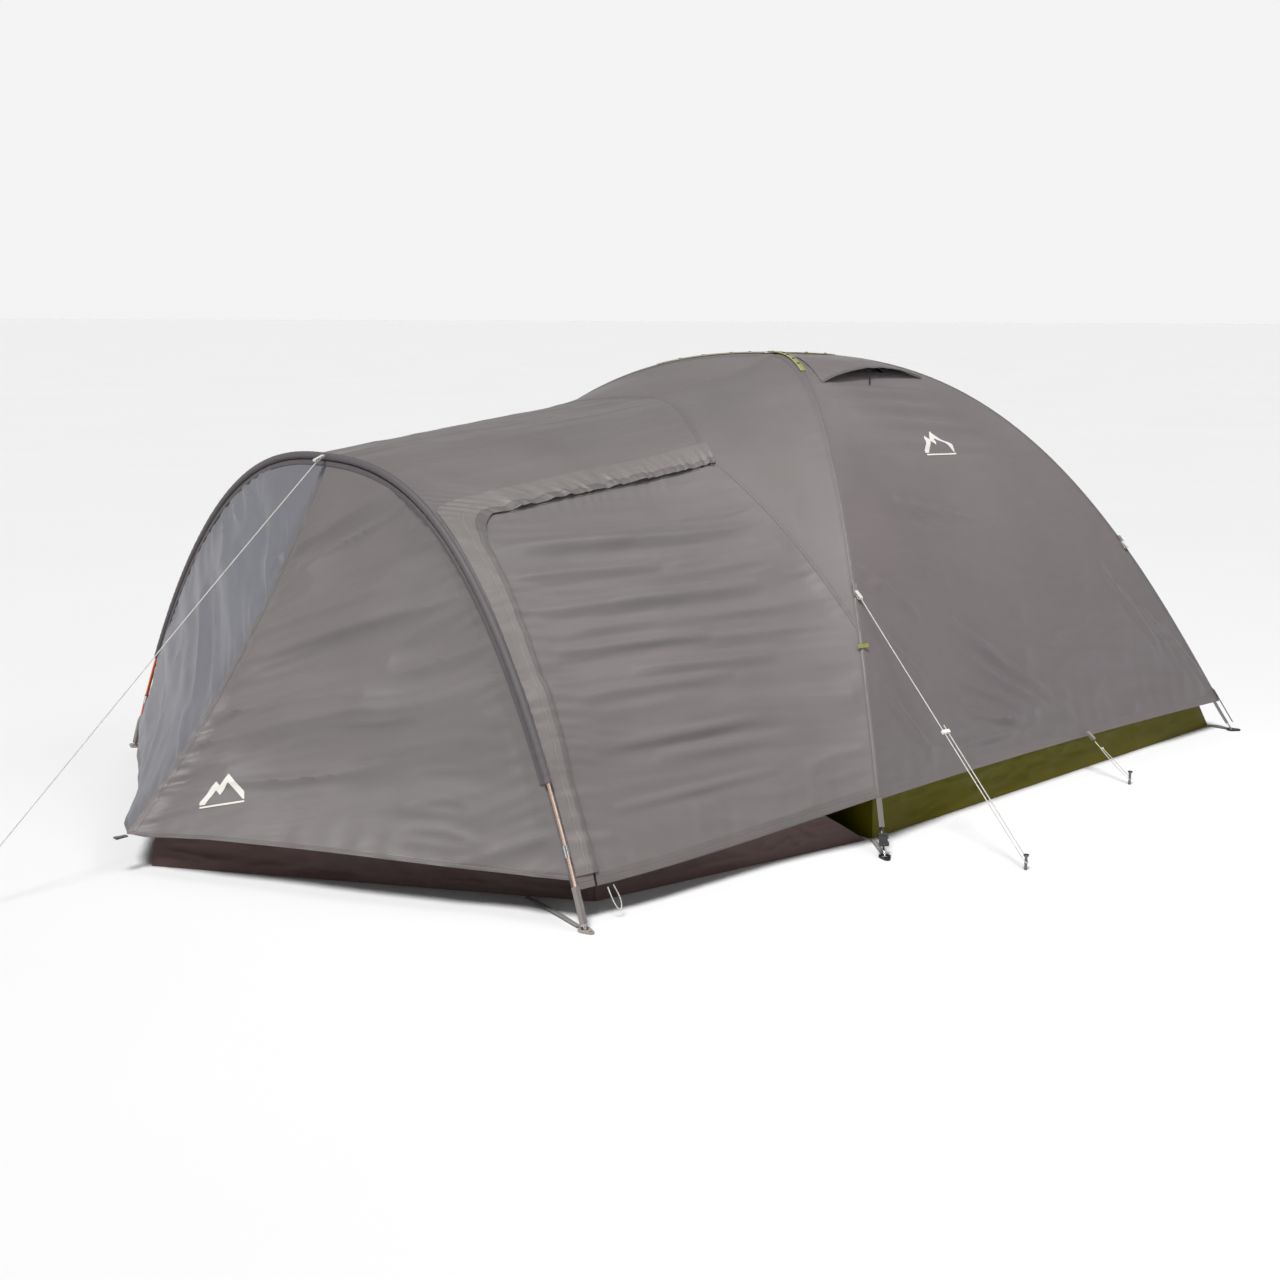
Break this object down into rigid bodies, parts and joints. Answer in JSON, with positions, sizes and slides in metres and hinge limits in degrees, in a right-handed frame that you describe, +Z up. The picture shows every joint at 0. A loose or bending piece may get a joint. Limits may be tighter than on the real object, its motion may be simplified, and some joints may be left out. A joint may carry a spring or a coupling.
{
  "type": "dome tent",
  "caption": "Dome tent with a hooped front porch, its fly over an inner tent, held by bent poles, guy lines and stakes.",
  "frame": {"origin": "on the ground at the middle of the tent's length and width, guy lines not counted", "axes": "+X along the tent from the porch nose to the back, +Y towards the far side, +Z up"},
  "size_m": [3.6028, 2.6342, 1.1654],
  "materials": {
    "fly_cloth": "coated ripstop, soft sheen",
    "pale_cloth": "coated ripstop, lit through",
    "sleeve_cloth": "plain weave",
    "olive_floor": "coated, soft sheen",
    "brown_floor": "coated, soft sheen",
    "mesh": "fine net",
    "olive_webbing": "ribbed",
    "grey_webbing": "ribbed",
    "zip_tape": "plain tape",
    "white_cord": "braided",
    "pole_grey": "satin anodised",
    "pole_copper": "bright anodised",
    "bright_metal": "bright",
    "black_plastic": "moulded"
  },
  "bodies": {
    "tent": {"pole_front_near": "pole_grey", "pole_front_far": "pole_grey", "pole_rear_near": "pole_grey", "pole_rear_far": "pole_grey", "hoop_pole": "pole_copper", "apex_hub": "black_plastic", "dome_ferrules": "bright_metal", "hoop_ferrules": "bright_metal", "pole_tips": "bright_metal", "foot_front_near": "black_plastic", "foot_front_far": "black_plastic", "foot_rear_near": "black_plastic", "foot_rear_far": "black_plastic", "foot_hoop_near": "grey_webbing", "foot_hoop_far": "grey_webbing", "floor_straps": "grey_webbing", "fly_straps": "grey_webbing", "buckle_socket": "black_plastic", "pole_clips": "black_plastic", "fly_side_near": "fly_cloth", "fly_side_far": "fly_cloth", "fly_rear": "fly_cloth", "fly_front": "fly_cloth", "porch_roof": "fly_cloth", "porch_wall_near": "fly_cloth", "porch_wall_far": "pale_cloth", "nose_near": "fly_cloth", "nose_far": "pale_cloth", "hoop_sleeve": "sleeve_cloth", "storm_flap": "fly_cloth", "fly_zip_tape": "zip_tape", "vent_mesh": "mesh", "apex_webbing": "olive_webbing", "pole_tags": "olive_webbing", "guy_tabs": "white_cord", "hem_tab": "grey_webbing", "nose_tab": "grey_webbing", "inner_side_near": "mesh", "inner_side_far": "mesh", "inner_rear": "mesh", "inner_front": "mesh", "inner_door_zip": "zip_tape", "sleeping_floor": "olive_floor", "porch_floor": "brown_floor", "front_guyline": "white_cord", "side_guyline": "white_cord", "hem_line": "white_cord", "hoop_loop": "white_cord", "front_stake": "bright_metal", "side_stake": "bright_metal", "hem_stake": "bright_metal", "front_line_knot": "white_cord"},
    "porch_door": {"porch_door": "fly_cloth", "door_zip_tape": "zip_tape"},
    "zip_slider": {"zip_slider": "bright_metal"},
    "vent_hood": {"vent_hood": "fly_cloth"},
    "vent_prop": {"vent_prop": "black_plastic"},
    "inner_door": {"inner_door": "mesh"},
    "line_tensioner": {"line_tensioner": "white_cord"},
    "buckle_clip": {"buckle_clip": "black_plastic"}
  },
  "joints": [
    {"name": "porch_door_swing", "type": "hinge", "parent": "tent", "child": "porch_door", "pos_m": [-0.176, -1.125, 0.132], "axis": [0.0628, 0.6158, 0.7854], "range_deg": [0, 80]},
    {"name": "zip_slider_slide", "type": "slide", "parent": "tent", "child": "zip_slider", "axis": [-0.9942, 0.0338, -0.1019], "range_m": [0, 0.618]},
    {"name": "vent_hood_close", "type": "hinge", "parent": "tent", "child": "vent_hood", "pos_m": [0.69862, -0.14919, 1.15813], "axis": [1, 0, 0], "range_deg": [0, 4]},
    {"name": "vent_prop_fold", "type": "hinge", "parent": "vent_hood", "child": "vent_prop", "pos_m": [0.69862, -0.36493, 1.12685], "axis": [0, 1, 0], "range_deg": [0, 28]},
    {"name": "inner_door_drop", "type": "hinge", "parent": "tent", "child": "inner_door", "pos_m": [-0.0973, 0, 0.164], "axis": [0, -1, 0], "range_deg": [0, 95]},
    {"name": "line_tensioner_slide", "type": "slide", "parent": "tent", "child": "line_tensioner", "axis": [-0.0766, -0.7126, -0.6973], "range_m": [0, 0.06]},
    {"name": "buckle_release", "type": "slide", "parent": "tent", "child": "buckle_clip", "axis": [0.3304, 0.4315, 0.8394], "range_m": [0, 0.012]}
  ],
  "couplings": [
    {"joint": "vent_prop_fold", "follows": "vent_hood_close", "ratio": 7}
  ]
}
